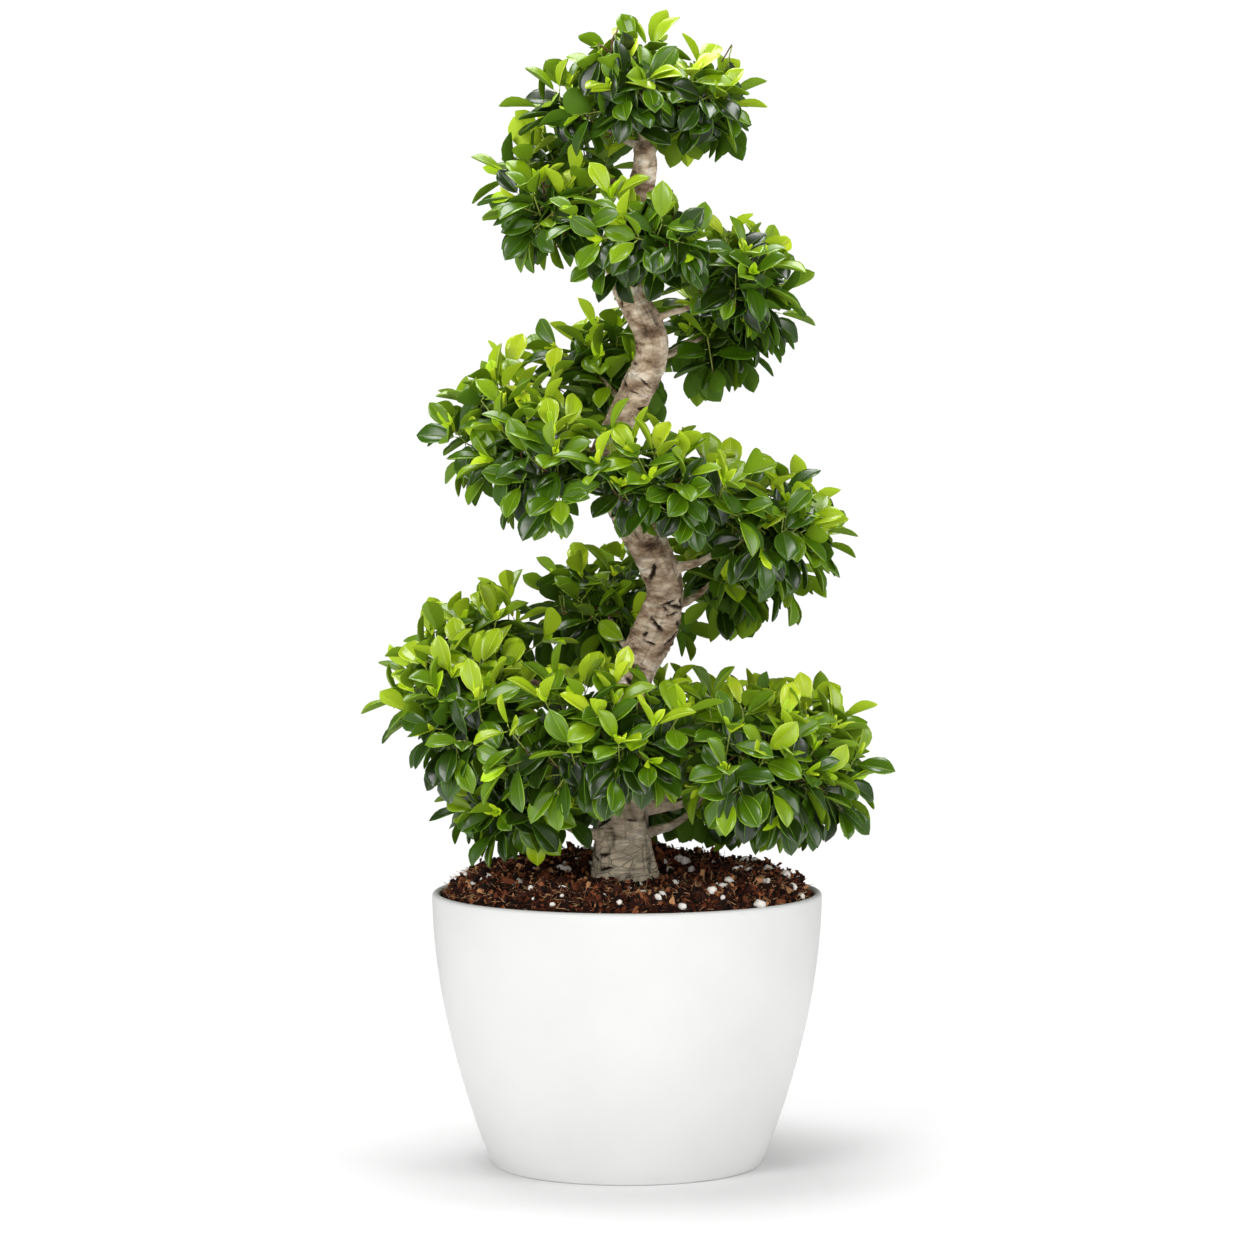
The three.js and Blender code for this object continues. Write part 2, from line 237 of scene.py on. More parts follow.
def lattice_noise(points, seed=0):
    """Smooth noise from -1 to 1: random values on a unit lattice, blended across each cell by smoothsteps."""
    cell = np.floor(points).astype(np.int64)
    part = points - cell
    part = part * part * (3 - 2 * part)
    total = np.zeros(len(points))
    for corner in range(8):
        step = np.array([corner & 1, corner >> 1 & 1, corner >> 2 & 1])
        x, y, z = (cell + step).T
        mixed = x * 73856093 ^ y * 19349663 ^ z * 83492791 ^ seed * 2654435
        mixed = (mixed ^ mixed >> 13) * 1274126177 & 0xFFFFFFFF
        value = ((mixed ^ mixed >> 16) & 0xFFFF) / 32767.5 - 1
        total += value * np.prod(np.where(step == 1, part, 1 - part), axis=1)
    return total


def smooth_between(x, low, high):
    """0 below low, 1 above high, and a smoothstep between them."""
    share = np.clip((x - low) / (high - low), 0, 1)
    return share * share * (3 - 2 * share)


def unit(vectors):
    """Vectors scaled to length 1."""
    return vectors / np.maximum(np.linalg.norm(vectors, axis=-1, keepdims=True), 1e-9)


mix_edge = POT_HEIGHT - MIX_BELOW_RIM
mix_radius = side_radius(mix_edge) - POT_WALL


def heap_height(x, y):
    """The heap's height: a level seat, a crest higher at the back, and a shoulder that falls late."""
    r = np.hypot(x, y)
    risen = smooth_between(r, HEAP_SEAT_RADIUS, HEAP_CREST_RADIUS)
    inner = HEAP_SEAT + (HEAP_CREST - HEAP_SEAT) * risen
    to_edge = np.clip((r - HEAP_CREST_RADIUS) / (mix_radius - HEAP_CREST_RADIUS), 0, 1)
    outer = HEAP_CREST + (mix_edge - HEAP_CREST) * to_edge**HEAP_SHOULDER
    on_heap = risen * (1 - smooth_between(to_edge, 0, 1))
    return np.where(r < HEAP_CREST_RADIUS, inner, outer) + HEAP_BACK_RISE * on_heap * y / HEAP_CREST_RADIUS


def rough_height(x, y):
    """The heap's height with lumps, crumbs and grit on it, which fade where it meets the wall."""
    flat = np.stack([x, y, np.zeros_like(x)], axis=1)
    lumps = lattice_noise(flat / LUMP_WIDE, 1) * LUMP_HIGH
    crumbs = lattice_noise(flat / CRUMB_WIDE, 2) * CRUMB_HIGH + lattice_noise(flat / GRIT_WIDE, 3) * GRIT_HIGH
    near_wall = smooth_between(np.hypot(x, y), QUIET_RADIUS, mix_radius)
    return heap_height(x, y) + (lumps + crumbs) * (1 - QUIET_SHARE * near_wall)


ring_radius = np.sqrt(np.linspace(0.0004, 1, HEAP_RINGS)) * (mix_radius - 0.0006)
heap_x = np.outer(ring_radius, np.cos(full_turn(HEAP_AROUND))).ravel()
heap_y = np.outer(ring_radius, np.sin(full_turn(HEAP_AROUND))).ravel()
heap_top = np.stack([heap_x, heap_y, rough_height(heap_x, heap_y)], axis=1)
skirt = heap_top[-HEAP_AROUND:] * [0.985, 0.985, 1] - [0, 0, HEAP_DEEP]
heap_points = np.concatenate([heap_top, skirt, [[0, 0, HEAP_SEAT]], [[0, 0, mix_edge - HEAP_DEEP]]])

# Damp composted bark: dull, red-brown on its crumbs and mottled every 5 mm. It is painted nearly black in its
# hollows, where the noise that raises the bump is low: painted shade.
damp_bark = new_material("damp_bark_compost", Roughness=0.92, Specular_IOR_Level=0.15)
crumbs = noise(damp_bark, add_node(damp_bark, "TexCoord", "Object"), 0.005, 5.0)
tone = add_node(damp_bark, "ValToRGB", "Color", {"Fac": crumbs},
                stops=[(0.36, "#0A0402"), (0.72, "#6B3519"), (0.54, "#281006")])
set_shader(damp_bark, Base_Color=tone, Normal=bump(damp_bark, crumbs, 0.6, 0.001))
heap = make_piece("potting_mix", heap_points, tube_faces(HEAP_RINGS + 1, HEAP_AROUND), [damp_bark])
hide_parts("soil")
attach(heap, "root")


def turned_at_random(rng, count, flatness):
    """Random right-handed axes, one set of three for each piece, the third leaning towards up."""
    third = unit(rng.normal(size=(count, 3)) * [1, 1, 0.5] + [0, 0, flatness])
    first = unit(np.cross(third, rng.normal(size=(count, 3))))
    return np.stack([first, np.cross(third, first), third], axis=1)


def scatter(rng, count, sink):
    """Points spread evenly over the heap, each sunk below its surface by up to that much."""
    r = np.sqrt(rng.uniform(0.03, 1, count)) * (mix_radius - 0.004)
    a = rng.uniform(0, 2 * np.pi, count)
    x, y = r * np.cos(a), r * np.sin(a)
    return np.stack([x, y, rough_height(x, y) - sink * rng.uniform(-0.6, 1, count)], axis=1)


def copies(shape, axes, sizes, centres, wobble):
    """Points of copies of a small shape, each with its own axes, sizes, centre and wobble of each point."""
    local = (shape[None] + wobble) * sizes[:, None]
    return (np.einsum("nvk,nkc->nvc", local, axes) + centres[:, None]).reshape(-1, 3)


def repeated(faces, count, size):
    """The faces of one shape, once for each of many copies of its points."""
    return (faces + np.arange(count)[:, None, None] * size).reshape(-1, faces.shape[1])


def new_materials(name, codes, **values):
    """One numbered material for each sRGB code, all else being alike."""
    return [new_material(f"{name}_{i}", Base_Color=srgb(code), **values) for i, code in enumerate(codes)]


# A chip is a split slab: eight corners, none of them quite square.
slab = np.array([[x, y, z] for z in (-0.5, 0.5) for y in (-0.5, 0.5) for x in (-0.5, 0.5)])
slab_faces = np.array([[0, 2, 3, 1], [4, 5, 7, 6], [0, 1, 5, 4], [2, 6, 7, 3], [0, 4, 6, 2], [1, 3, 7, 5]])
rng = np.random.default_rng(11)
chip_long = rng.gamma(CHIP_SHAPE, CHIP_MEAN, CHIP_COUNT) + CHIP_LEAST
chip_sizes = np.stack([chip_long, chip_long * rng.uniform(0.25, 0.7, CHIP_COUNT),
                       chip_long * rng.uniform(0.18, 0.5, CHIP_COUNT)], axis=1)
chip_centres = scatter(rng, CHIP_COUNT, 0.0015)
# Nearly half of them cling together in clods, which stand up out of the heap.
clods = scatter(rng, CLOD_COUNT, 0.0) + [0, 0, 0.001]
clods = clods[np.hypot(*clods[:, :2].T) < mix_radius - 0.012]
held = rng.uniform(size=CHIP_COUNT) < CLOD_SHARE
in_clod = rng.normal(size=(held.sum(), 3)) * CLOD_RADIUS * rng.uniform(0.5, 1.2, (held.sum(), 1))
chip_centres[held] = clods[rng.integers(0, len(clods), held.sum())] + in_clod * [1, 1, 0.85]
points = copies(slab, turned_at_random(rng, CHIP_COUNT, 0.2), chip_sizes, chip_centres,
                rng.uniform(-0.27, 0.27, (CHIP_COUNT, 8, 3)))
# Composted pine bark: each chip one flat dull brown, from nearly black to the red of a fresh split.
chip_skins = new_materials("pine_bark_chip", CHIP_BROWNS, Roughness=0.85, Specular_IOR_Level=0.25)
shades = rng.choice(5, CHIP_COUNT, p=CHIP_SHARES)
faces = repeated(slab_faces, CHIP_COUNT, len(slab))
chips = make_piece("bark_chips", points, [(faces, np.repeat(shades, 6))], chip_skins, sharp_angle=30)
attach(chips, "root")


def square_to(ways, vectors):
    """Unit vectors square to some ways: what is left of other vectors without their part along the way."""
    return unit(vectors - (vectors * ways).sum(axis=-1, keepdims=True) * ways)


def tubes(paths, radii, sides):
    """Closed round limbs along many paths at once: a ring at each path point, square to the path's way.
    paths is (limbs, points, 3) and radii (limbs, points); each end closes on a pole."""
    limbs, count = paths.shape[:2]
    way = unit(np.gradient(paths, axis=1))
    mean = unit(way.mean(axis=1))
    least = np.eye(3)[np.argmin(np.abs(mean), axis=1)]
    across = square_to(way, least[:, None])
    other = np.cross(way, across)
    a = full_turn(sides)
    ring = across[:, :, None] * np.cos(a)[:, None] + other[:, :, None] * np.sin(a)[:, None]
    rings = paths[:, :, None] + ring * radii[:, :, None, None]
    poles = np.stack([paths[:, 0] - way[:, 0] * radii[:, :1] * 0.3,
                      paths[:, -1] + way[:, -1] * radii[:, -1:] * 0.8], axis=1)
    points = np.concatenate([rings.reshape(limbs, -1, 3), poles], axis=1)
    quads, starts, ends = (repeated(faces, limbs, points.shape[1]) for faces, _ in tube_faces(count, sides))
    return points.reshape(-1, 3), quads, np.concatenate([starts, ends])


# Coir fibres are thin curved threads that lie over and stick out of the heap.
rng = np.random.default_rng(12)
start = scatter(rng, FIBRE_COUNT, 0.001)
heading = unit(rng.normal(size=(FIBRE_COUNT, 3)) * [1, 1, 0.35])
bend = rng.normal(size=(FIBRE_COUNT, 3)) * [0.004, 0.004, 0.002]
share = np.linspace(-0.5, 0.5, 4)[None, :, None]
length = rng.uniform(*FIBRE_LENGTH, (FIBRE_COUNT, 1, 1))
fibre_paths = start[:, None] + heading[:, None] * share * length - bend[:, None] * (share * 2) ** 2
fibre_radii = np.broadcast_to([0.0002, 0.0004, 0.00035, 0.00015], (FIBRE_COUNT, 4))
points, quads, triangles = tubes(fibre_paths, fibre_radii, 3)
# Coir: dry coconut husk fibre, dull red-brown, and straw-coloured where it is frayed.
coir = new_materials("coir_fibre", ["#6E4128", "#C69A70"], Roughness=0.8)
shades = rng.integers(0, 2, FIBRE_COUNT)
fibres = make_piece("coir_fibres", points,
                    [(quads, np.repeat(shades, 9)), (triangles, np.tile(np.repeat(shades, 3), 2))], coir)
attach(fibres, "root")

# Perlite is volcanic glass popped like corn: white, crumbly, rounded grains.
rng = np.random.default_rng(13)
a = np.linspace(-np.pi / 2, np.pi / 2, 6)
grain, grain_faces = turned(np.stack([np.cos(a), np.sin(a)], axis=1), 7)
grain_radius = (rng.gamma(CHIP_SHAPE, GRAIN_MEAN, PERLITE_COUNT) + GRAIN_LEAST).clip(0, GRAIN_MOST)
grain_sizes = grain_radius[:, None] * rng.uniform(0.75, 1.25, (PERLITE_COUNT, 3))
axes = turned_at_random(rng, PERLITE_COUNT, 0.0)
centres = scatter(rng, PERLITE_COUNT, 0.0) + [0, 0, GRAIN_LEAST]
wobble = rng.uniform(-0.12, 0.12, (PERLITE_COUNT, len(grain), 3))
points = copies(grain, axes, grain_sizes, centres, wobble)
face_sets = [(repeated(faces, PERLITE_COUNT, len(grain)), 0) for faces, _ in grain_faces]
perlite_white = new_material("perlite", Base_Color=srgb("#F2ECE4"), Roughness=0.9)
perlite = make_piece("perlite_grains", points, face_sets, [perlite_white], sharp_angle=50)
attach(perlite, "root")

# ---------- The trunk ----------
# One ficus stem, trained into a snake while it was soft. Its bark is thin and grey-brown, with wrinkles round
# it, dark scars where twigs were rubbed off, a swelling under each bough and a cracked, fluted foot.

TRUNK_RINGS, TRUNK_AROUND, TRUNK_SMOOTH = 600, 110, 14
FOOT_HEIGHT, FLUTE_HIGH = 0.075, 0.005
LUMP_TALL, LUMP_RISE, DIMPLE_TALL, DIMPLE_RISE = 0.055, 0.0024, 0.018, 0.0007
FINE_TALL, FINE_DEEP, BROAD_TALL, BROAD_DEEP = 0.0021, 0.00065, 0.007, 0.0008
CRACK_TALL, CRACK_DEEP = 0.03, 0.0010
SCAR_COUNT, SCAR_DEEP, SCAR_LIP = 105, 0.0022, 0.0009
SCAR_THIN, SCAR_LONG, SCAR_SLANT = (0.0010, 0.0026), (0.004, 0.0115), (-0.9, 0.9)
KNUCKLE_SHARE, COLLAR_DEEP = 0.42, 0.0011
# How dark each mark is painted: the wrinkles and the collar under a bough get painted shade, the cracks and
# scars their own dark colour and painted shade.
FINE_DARK, BROAD_DARK, CRACK_DARK, SCAR_DARK, COLLAR_DARK = 0.42, 0.26, 0.75, 1.3, 0.35


def triangles_of(node):
    """The corners of a CAD node's triangles, as an array of (triangles, 3, 3)."""
    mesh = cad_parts[node].data
    mesh.calc_loop_triangles()
    corners = np.empty(len(mesh.loop_triangles) * 3, np.int32)
    mesh.loop_triangles.foreach_get("vertices", corners)
    points = np.empty(len(mesh.vertices) * 3, np.float32)
    mesh.vertices.foreach_get("co", points)
    return points.reshape(-1, 3).astype(float)[corners].reshape(-1, 3, 3)


def slices(corners, way, levels):
    """Centre and mean radius of a limb's outline on planes across a way, from the edges that cross each."""
    start, end = corners, np.roll(corners, -1, axis=1)
    low, high = start @ way, end @ way
    centres, radii = [], []
    for level in levels:
        crossed = (low - level) * (high - level) < 0
        share = ((level - low[crossed]) / (high[crossed] - low[crossed]))[:, None]
        on_plane = start[crossed] + (end[crossed] - start[crossed]) * share
        middle = (on_plane.max(0) + on_plane.min(0)) / 2
        centres.append(middle)
        radii.append(np.linalg.norm(on_plane - middle, axis=1).mean())
    return np.array(centres), np.array(radii)


def resampled(path, values, count):
    """A path and the values along it, at evenly spaced places."""
    length = np.concatenate([[0], np.cumsum(np.linalg.norm(np.diff(path, axis=0), axis=1))])
    even = np.linspace(0, length[-1], count)
    place = np.stack([np.interp(even, length, path[:, k]) for k in range(3)], axis=1)
    return place, np.interp(even, length, values), even


def softened(values, reach):
    """Values along a path, averaged over a window; its ends are held."""
    kernel = np.hanning(2 * reach + 3)[1:-1]
    padded = np.pad(values, ((reach, reach), (0, 0)), mode="reflect", reflect_type="odd")
    return np.stack([np.convolve(column, kernel / kernel.sum(), "valid") for column in padded.T], axis=1)


trunk_low, trunk_high = (np.array(corner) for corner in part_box("trunk"))
UP = np.array([0.0, 0.0, 1.0])
levels = np.linspace(trunk_low[2] + 0.002, trunk_high[2] - 0.004, 90)
centres, radii = slices(triangles_of("trunk"), UP, levels)
lean = unit(np.gradient(centres, axis=0))[:, 2]
radii = radii * 2 / (1 + 1 / lean)
centres = np.concatenate([[centres[0] * [1, 1, 0] + trunk_low * [0, 0, 1]], centres,
                          [centres[-1] * [1, 1, 0] + trunk_high * [0, 0, 1]]])
radii = np.concatenate([radii[:1], radii, radii[-1:]])
trunk_path, trunk_radius, trunk_along = resampled(centres, radii, TRUNK_RINGS)
trunk_path = softened(trunk_path, TRUNK_SMOOTH)
trunk_radius = softened(trunk_radius[:, None], TRUNK_SMOOTH)[:, 0]


def nearest_on_trunk(point):
    """Number of the trunk ring nearest to a point."""
    return int(np.argmin(np.linalg.norm(trunk_path - point, axis=1)))


# Each bough's line comes from its solid: where it leaves the trunk, its middle and its far end.
bough_names = sorted(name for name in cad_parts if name.startswith("bough"))
mass_names = sorted(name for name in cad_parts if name.startswith("leaf_mass"))
mass_centre = {name: triangles_of(name).mean(axis=(0, 1)) for name in mass_names}
limbs = {}
for name in mass_names:
    number = name.rsplit("_", 1)[1]
    centre = mass_centre[name]
    bough = "bough_" + number
    if bough in bough_names:
        corners = triangles_of(bough)
        flat = corners.reshape(-1, 3)
        inner = trunk_path[nearest_on_trunk(flat.mean(0))]
        way = unit(flat[np.argmax(np.linalg.norm(flat - inner, axis=1))] - inner)
        reach = flat @ way
        low, high = reach.min(), reach.max()
        knots, thick = slices(corners, way, low + (high - low) * np.array([0.45, 0.62, 0.8]))
        root = trunk_path[nearest_on_trunk(2 * knots[0] - knots[2])]
        limbs[number] = (np.concatenate([[root], knots[[0, 2]], [centre]]), thick.mean() * 1.05)
    else:
        root = trunk_path[nearest_on_trunk(centre - [0, 0, 0.03])]
        limbs[number] = (np.array([root, centre * 0.5 + root * 0.5 - [0, 0, 0.006], centre]), 0.0042)


def limb_frames(path):
    """Two directions square to a path at each point, carried along it without turning about it."""
    way = unit(np.gradient(path, axis=0))
    across = np.empty_like(way)
    side = np.array([1.0, 0.0, 0.0]) if abs(way[0, 0]) < 0.9 else np.array([0.0, 1.0, 0.0])
    for i, direction in enumerate(way):
        side = unit(side - (side @ direction) * direction)
        across[i] = side
    return way, across, np.cross(way, across)


def barked(path, radius, along, around, relief):
    """A limb whose radius is raised and lowered by relief(turn, along); its two ends close on poles.
    Returns its points and faces, and how dark each point is painted: the scars' own dark, and painted shade
    in grooves."""
    way, across, other = limb_frames(path)
    a = full_turn(around)
    turn = np.broadcast_to(a, (len(path), around))
    height, depth = relief(turn, np.broadcast_to(along[:, None], turn.shape))
    r = radius[:, None] + height
    ring = across[:, None] * np.cos(a)[:, None] + other[:, None] * np.sin(a)[:, None]
    points = path[:, None] + ring * r[..., None]
    poles = np.stack([path[0], path[-1] + way[-1] * radius[-1] * 0.5])
    return (np.concatenate([points.reshape(-1, 3), poles]), tube_faces(len(path), around),
            np.append(depth.ravel(), [0, 0]))


def ringed(turn, along, across_size, along_size, seed):
    """Noise on a limb's surface that closes round it, its grains so many radians wide and metres tall."""
    spot = np.stack([np.cos(turn) / across_size, np.sin(turn) / across_size, along / along_size], axis=-1)
    return lattice_noise(spot.reshape(-1, 3) + 37.0, seed).reshape(turn.shape)


def wrinkles(turn, along, size, seed):
    """Grooves that run round a limb: where a noise that is flat and wide crosses zero, from 0 to 1 deep."""
    wander = along + 0.004 * ringed(turn, along, 1.1, 0.02, seed)
    noise = ringed(turn, wander, 0.75, size, seed + 1)
    gate = smooth_between(ringed(turn, along, 0.6, 0.018, seed + 2), -0.5, 0.4)
    return np.exp(-(noise / 0.22) ** 2) * gate


way, across, other = limb_frames(trunk_path)
knuckles = []
for number, (knots, thick) in limbs.items():
    if "bough_" + number in bough_names:
        ring = nearest_on_trunk(knots[0])
        out = knots[1] - trunk_path[ring]
        knuckles.append((np.arctan2(out @ other[ring], out @ across[ring]), trunk_along[ring], thick))
rng = np.random.default_rng(21)
scars = list(zip(rng.uniform(0, 2 * np.pi, SCAR_COUNT), rng.uniform(0.01, 0.72, SCAR_COUNT),
                 rng.uniform(*SCAR_THIN, SCAR_COUNT), rng.uniform(*SCAR_LONG, SCAR_COUNT),
                 rng.uniform(*SCAR_SLANT, SCAR_COUNT)))


def trunk_relief(turn, along):
    """Height of the bark over the plain trunk, and how dark it is: lumps, wrinkles, cracks, fluted foot,
    scars with a raised lip, and a knuckle with a sunk collar under each bough. The dark is painted shade in
    the wrinkles and collars, and in the cracks and scars it is partly their own colour and partly painted
    shade."""
    radius = np.interp(along[:, 0], trunk_along, trunk_radius)[:, None]

    def from_spot(spot, place):
        """How far round the trunk and along it each point lies from a place, in metres."""
        return np.angle(np.exp(1j * (turn - spot))) * radius, along - place

    foot = 1 - smooth_between(along, 0.0, FOOT_HEIGHT)
    height = (LUMP_RISE * ringed(turn, along, 1.0, LUMP_TALL, 31)
              + DIMPLE_RISE * ringed(turn, along, 0.5, DIMPLE_TALL, 32))
    fine, broad = wrinkles(turn, along, FINE_TALL, 33), wrinkles(turn, along, BROAD_TALL, 37)
    height -= FINE_DEEP * fine + BROAD_DEEP * broad
    # Painted shade in the grooves of the wrinkles.
    dark = FINE_DARK * fine + BROAD_DARK * broad
    cracks = np.exp(-(ringed(turn, along, 0.16, CRACK_TALL, 41) / 0.13) ** 2)
    cracks *= smooth_between(ringed(turn, along, 0.7, CRACK_TALL, 42), -0.2, 0.4) * (0.45 + 0.55 * foot)
    height -= CRACK_DEEP * cracks
    # The cracks are painted dark: partly their own colour, partly painted shade.
    dark += CRACK_DARK * cracks
    height += FLUTE_HIGH * foot**2 * (ringed(turn, along * 0, 0.55, 1.0, 43) + 0.2)
    frayed = 0.35 * ringed(turn, along, 0.12, 0.003, 44)
    for spot, place, thin, long, slant in scars:
        sideways, up = from_spot(spot, place)
        u = sideways * np.cos(slant) + up * np.sin(slant)
        v = up * np.cos(slant) - sideways * np.sin(slant)
        spread = np.hypot(u / long, v / thin) + frayed
        pit = np.exp(-(np.maximum(spread, 0)) ** 4)
        height += SCAR_LIP * np.exp(-((spread - 1.45) / 0.45) ** 2) - SCAR_DEEP * pit
        # A scar's pit is painted dark: its own dark colour, and painted shade.
        dark += SCAR_DARK * pit
    for spot, place, thick in knuckles:
        sideways, up = from_spot(spot, place)
        distance = np.hypot(sideways, up * 0.8)
        collar = np.exp(-((distance - 1.9 * thick) / (0.28 * thick)) ** 2)
        height += KNUCKLE_SHARE * thick * np.exp(-(distance / (1.7 * thick)) ** 2)
        height -= COLLAR_DEEP * collar
        # The sunk collar is painted dark: painted shade.
        dark += COLLAR_DARK * collar
    return height, np.clip(dark, 0, 1)


closing = smooth_between(trunk_along[-1] - trunk_along, -0.004, 0.012)
trunk_radius_shown = trunk_radius * np.maximum(closing, 0.25)
points, faces, depth = barked(trunk_path, trunk_radius_shown, trunk_along, TRUNK_AROUND, trunk_relief)
points[:, 2] = np.maximum(points[:, 2], trunk_low[2])


def rescaled(material, value, low, high, to_low, to_high):
    """A value carried from one range to another, and held at its ends."""
    return add_node(material, "MapRange", "Result", {"Value": value, "From Min": low, "From Max": high,
                                                     "To Min": to_low, "To Max": to_high})


def maths(material, operation, first, second):
    """Two values joined by one operation."""
    return add_node(material, "Math", "Value", {0: first, 1: second}, operation=operation)


def blend(material, share, first, second):
    """The first colour, replaced by the second to a share."""
    return add_node(material, "Mix", 2, {"Factor": share, 6: first, 7: second}, data_type="RGBA")


# Ficus bark: thin, dry and matt. Pale grey-brown skin with darker patches 30 mm across, almost black in
# cracks and scars, partly their own colour and partly painted shade; the dark in the wrinkles and collars is
# painted shade.
# Near the ground it is painted paler and warmer, a painted light for a foot that lies in the leaves' shade,
# and there it has split into plates 17 mm wide, dark along their edges partly as painted shade. Its grain is
# 1.5 mm wide, and all of this runs round the limb.
ficus_bark = new_material("ficus_bark", Roughness=0.85, Specular_IOR_Level=0.3)
place = add_node(ficus_bark, "TexCoord", "Object")
lying = add_node(ficus_bark, "Mapping", "Vector", {"Vector": place, "Scale": (1.0, 1.0, 2.2)})
tone = add_node(ficus_bark, "ValToRGB", "Color", {"Fac": noise(ficus_bark, lying, 0.030, 9.0, 0.62)},
                stops=[(0.33, "#5A4532"), (0.66, "#F8EAD8"), (0.43, "#9A7F66"), (0.54, "#D2BCA2")])
height = add_node(ficus_bark, "SeparateXYZ", "Z", {"Vector": place})
ground = rescaled(ficus_bark, height, 0.30, 0.40, 1.0, 0.0)
# Painted light: the bark near the ground is mixed towards a pale warm colour, so the shaded foot looks lit.
tone_with_painted_foot_light = blend(ficus_bark, maths(ficus_bark, "MULTIPLY", ground, 0.75), tone, srgb("#FFEFD2"))
plates = add_node(ficus_bark, "TexVoronoi", "Distance", {"Vector": lying, "Scale": 1 / 0.017},
                  feature="DISTANCE_TO_EDGE")
# Near the ground the edges of the plates are painted dark, partly their own colour and partly painted shade.
split = maths(ficus_bark, "MULTIPLY", rescaled(ficus_bark, plates, 0.02, 0.07, 0.7, 0.0), ground)
marks_and_painted_shade = add_node(ficus_bark, "Attribute", "Fac", attribute_name="marks_and_painted_shade")
# The plates' edges and the painted attribute darken the bark towards near black: painted shade, with the
# scars' and cracks' own dark.
shadowed = blend(ficus_bark, maths(ficus_bark, "MAXIMUM", split, marks_and_painted_shade), tone_with_painted_foot_light, srgb("#2B1A0E"))
raised = maths(ficus_bark, "SUBTRACT", noise(ficus_bark, lying, 0.0015, 4.0), split)
set_shader(ficus_bark, Base_Color=shadowed, Normal=bump(ficus_bark, raised, 0.9, 0.0007))


def set_marks_and_painted_shade(piece, depth):
    """Stores how dark each point is painted, which the bark's colour reads: painted shade in grooves, cracks
    and collars, and the scars' own dark.
    """
    layer = piece.data.attributes.new("marks_and_painted_shade", "FLOAT", "POINT")
    layer.data.foreach_set("value", depth.astype(np.float32))


trunk = make_piece("trunk_bark", points, faces, [ficus_bark])
set_marks_and_painted_shade(trunk, depth)
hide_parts("trunk")
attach(trunk, "root")

# ---------- The boughs ----------
# One limb to each mass of leaves, cut back every year, so it is short and kinks where it forks. Each leaves
# the trunk from a swelling, thins quickly and runs on into the leaves, where its twigs start.

BOUGH_RINGS, BOUGH_AROUND = 46, 18


def through(knots, count):
    """A smooth path through a few knots: Catmull-Rom pieces, sampled and then spaced evenly."""
    ends = np.concatenate([[2 * knots[0] - knots[1]], knots, [2 * knots[-1] - knots[-2]]])
    t = np.linspace(0, len(knots) - 1, count)
    i = np.minimum(t.astype(int), len(knots) - 2)
    f = (t - i)[:, None]
    a, b, c, d = ends[i], ends[i + 1], ends[i + 2], ends[i + 3]
    path = 0.5 * (2 * b + (c - a) * f + (2 * a - 5 * b + 4 * c - d) * f**2 + (3 * b - a - 3 * c + d) * f**3)
    return resampled(path, np.zeros(count), count)[0]


bough_points, bough_faces, bough_depth = [], [], []
bough_path = {}
rng = np.random.default_rng(22)
first = 0
for number, (knots, thick) in limbs.items():
    path = through(knots, BOUGH_RINGS)
    share = np.linspace(0, 1, BOUGH_RINGS)
    wander = np.stack([lattice_noise(np.stack([share * 5, share * 0 + k, share * 0], axis=1) + 9.5,
                                     int(number)) for k in range(3)], axis=1)
    path = path + wander * (0.004 * np.sin(np.pi * share))[:, None]
    bough_path[number] = path
    radius = thick * (1 - 0.84 * share**0.8) * (1 + 0.55 * np.exp(-share / 0.07))
    along = np.cumsum(np.linalg.norm(np.gradient(path, axis=0), axis=1))

    def bough_relief(turn, along, seed=100 + 7 * int(number), thick=thick):
        """Lumps and wrinkles, smaller than the trunk's, with painted shade in the grooves and in the hollows
        between the lumps.
        """
        groove = wrinkles(turn, along, 0.003, seed)
        lumps = ringed(turn, along, 1.0, 0.014, seed + 3)
        return 0.14 * thick * lumps - 0.05 * thick * groove, 0.55 * groove + 0.2 * (lumps < -0.3)

    points, faces, depth = barked(path, radius, along, BOUGH_AROUND, bough_relief)
    bough_points.append(points)
    bough_depth.append(depth)
    bough_faces += [(group + first, 0) for group, _ in faces]
    first += len(points)
boughs = make_piece("boughs", np.concatenate(bough_points), bough_faces, [ficus_bark])
set_marks_and_painted_shade(boughs, np.concatenate(bough_depth))
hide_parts(*bough_names)
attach(boughs, "root")

# ---------- The shoots ----------
# Clipping makes every twig end in a short leafy shoot just under the clipped surface. Shoots are spaced over
# the outside of the masses, closer above than below, and a second, older set stands deeper in.

OUTER_SPACING, UNDER_SPACING, INNER_SPACING = 0.0385, 0.047, 0.045
OUTER_INSET, INNER_INSET, SEAM_INSET = 0.031, 0.058, 0.012
SEAM_REACH, SEAM_LOOK, SEAM_CLEAR, TRUNK_CLEAR = 0.030, 0.006, 0.003, 0.012
TRIES_PER_PLACE, MASS_REACH = 9, 0.18
SHOOT_LENGTH = 0.032
LAYERS = (("outer", OUTER_SPACING, UNDER_SPACING, OUTER_INSET),
          ("inner", INNER_SPACING, INNER_SPACING, INNER_INSET))

trees = {}
for name in mass_names:
    corners = triangles_of(name)
    flat = corners.reshape(-1, 3)
    trees[name] = BVHTree.FromPolygons(flat.tolist(), np.arange(len(flat)).reshape(-1, 3).tolist())


def gap_to_others(name, point):
    """How far a point lies outside every other mass, or 0 inside one."""
    least = 1.0
    for other_name in mass_names:
        if other_name == name or np.linalg.norm(mass_centre[other_name] - point) > MASS_REACH:
            continue
        spot, normal, _, distance = trees[other_name].find_nearest(Vector(point))
        if (Vector(point) - spot).dot(normal) < 0:
            return 0.0
        least = min(least, distance)
    return least


